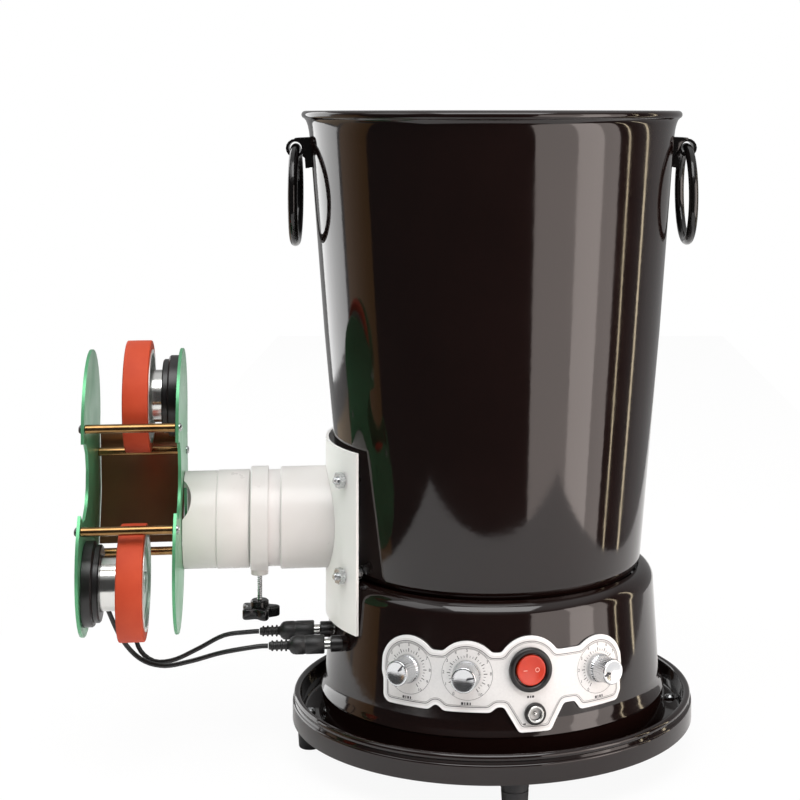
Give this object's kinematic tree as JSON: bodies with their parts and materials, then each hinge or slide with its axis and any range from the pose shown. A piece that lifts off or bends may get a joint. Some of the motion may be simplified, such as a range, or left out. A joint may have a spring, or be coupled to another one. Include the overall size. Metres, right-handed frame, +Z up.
{
  "type": "table tennis ball throwing machine",
  "caption": "Table tennis ball machine: dark enamelled bucket on a drum base with knobs and switch, side tube to a tilting two-wheel throwing head.",
  "frame": {"origin": "On the table under the middle of the bounding box, in the plane through the bucket's axis.", "axes": "+Z up; the throwing head is on the -X side and throws towards -Y; the controls face -Y."},
  "size_m": [0.3167, 0.209, 0.3315],
  "materials": {
    "brown_enamel": "very dark brown gloss enamel on sheet steel",
    "white_pvc": "white PVC with a low sheen",
    "polished_steel": "mirror polished stainless sheet",
    "zinc_plate": "bright zinc-plated steel",
    "yellow_zinc_rod": "yellow zinc plate on steel rod",
    "orange_rubber": "matt orange-red rubber",
    "black_plastic": "satin black moulded plastic",
    "nickel_plate": "nickel-plated steel",
    "spun_aluminium": "turned aluminium with a spun face",
    "printed_panel": "light grey printed panel",
    "red_plastic": "translucent red plastic",
    "white_plastic": "off-white moulded plastic",
    "circuit_board": "green solder mask",
    "black_cord": "soft black cable jacket"
  },
  "bodies": {
    "base": {"bucket": "brown_enamel", "base_housing": "brown_enamel", "base_tray": "brown_enamel", "ear_left": "brown_enamel", "ear_right": "brown_enamel", "foot_1": "black_plastic", "foot_2": "black_plastic", "foot_3": "black_plastic", "foot_4": "black_plastic", "foot_screw_1": "zinc_plate", "foot_screw_2": "zinc_plate", "foot_screw_3": "zinc_plate", "foot_screw_4": "zinc_plate", "feed_gearmotor": "zinc_plate", "circuit_board": "circuit_board", "control_panel": "printed_panel", "potentiometer_speed_top": "zinc_plate", "potentiometer_speed_bottom": "zinc_plate", "potentiometer_feed_rate": "zinc_plate", "switch_body": "black_plastic", "power_jack": "nickel_plate", "lead_socket_front": "black_plastic", "lead_socket_rear": "black_plastic", "lead_plug_front": "black_plastic", "lead_plug_rear": "black_plastic", "motor_lead_lower": "black_cord", "motor_lead_upper": "black_cord", "mount_plate": "white_pvc", "plate_bolt_1": "zinc_plate", "plate_bolt_2": "zinc_plate", "plate_bolt_3": "zinc_plate", "plate_bolt_4": "zinc_plate", "feed_tube": "white_pvc", "clamp_collar": "white_pvc"},
    "head": {"head_tube": "white_pvc", "inner_plate": "polished_steel", "outer_plate": "polished_steel", "back_panel": "polished_steel", "spacer_rod_front_upper": "yellow_zinc_rod", "spacer_rod_front_lower": "yellow_zinc_rod", "spacer_rod_rear_upper": "yellow_zinc_rod", "spacer_rod_rear_lower": "yellow_zinc_rod", "upper_wheel_motor": "nickel_plate", "upper_wheel_motor_holder": "black_plastic", "lower_wheel_motor": "nickel_plate", "lower_wheel_motor_holder": "black_plastic"},
    "upper_wheel": {"upper_wheel_hub": "nickel_plate", "upper_wheel_tyre": "orange_rubber"},
    "lower_wheel": {"lower_wheel_hub": "nickel_plate", "lower_wheel_tyre": "orange_rubber"},
    "clamp_screw": {"clamp_screw": "black_plastic"},
    "rotor": {"feed_rotor": "white_plastic", "rotor_shaft": "zinc_plate", "rotor_cap": "black_plastic"},
    "knob_speed_top": {"knob_speed_top": "spun_aluminium"},
    "knob_speed_bottom": {"knob_speed_bottom": "spun_aluminium"},
    "knob_feed_rate": {"knob_feed_rate": "spun_aluminium"},
    "rocker": {"switch_rocker": "red_plastic"},
    "ring_left": {"ring_handle_left": "brown_enamel"},
    "ring_right": {"ring_handle_right": "brown_enamel"}
  },
  "joints": [
    {"name": "head_pitch", "type": "hinge", "parent": "base", "child": "head", "pos_m": [0.05044, 0, 0.12], "axis": [1, 0, 0], "range_deg": [-30, 40], "deforming": ["motor_lead_lower", "motor_lead_upper"]},
    {"name": "upper_wheel_spin", "type": "hinge", "parent": "head", "child": "upper_wheel", "pos_m": [-0.1316, -0.01103, 0.18615], "axis": [1, 0, 0], "continuous": true},
    {"name": "lower_wheel_spin", "type": "hinge", "parent": "head", "child": "lower_wheel", "pos_m": [-0.1316, -0.044, 0.10026], "axis": [1, 0, 0], "continuous": true},
    {"name": "clamp_screw_turn", "type": "hinge", "parent": "base", "child": "clamp_screw", "pos_m": [-0.0711, 0, 0.0732], "axis": [0, 0, 1], "range_deg": [-360, 0]},
    {"name": "feed_rotor_spin", "type": "hinge", "parent": "base", "child": "rotor", "pos_m": [0.05044, 0, 0.0978], "axis": [0, 0, 1], "continuous": true},
    {"name": "knob_speed_top_turn", "type": "hinge", "parent": "base", "child": "knob_speed_top", "pos_m": [0.00221, -0.07123, 0.0624], "axis": [-0.5597, -0.8267, 0.0577], "range_deg": [-150, 150]},
    {"name": "knob_speed_bottom_turn", "type": "hinge", "parent": "base", "child": "knob_speed_bottom", "pos_m": [0.02905, -0.08332, 0.0624], "axis": [-0.2483, -0.967, 0.0577], "range_deg": [-150, 150]},
    {"name": "knob_feed_rate_turn", "type": "hinge", "parent": "base", "child": "knob_feed_rate", "pos_m": [0.09324, -0.07474, 0.0606], "axis": [0.4961, -0.8663, 0.0577], "range_deg": [-150, 150]},
    {"name": "rocker_tilt", "type": "hinge", "parent": "base", "child": "rocker", "pos_m": [0.05897, -0.08699, 0.06449], "axis": [-0.0056, 0.0574, 0.9983], "range_deg": [-10, 0]},
    {"name": "ring_left_swing", "type": "hinge", "parent": "base", "child": "ring_left", "pos_m": [-0.05244, 0.00719, 0.312], "axis": [0.0698, 0.9976, 0], "range_deg": [-8, 155]},
    {"name": "ring_right_swing", "type": "hinge", "parent": "base", "child": "ring_right", "pos_m": [0.15331, -0.00719, 0.312], "axis": [-0.0698, -0.9976, 0], "range_deg": [-8, 155]}
  ]
}
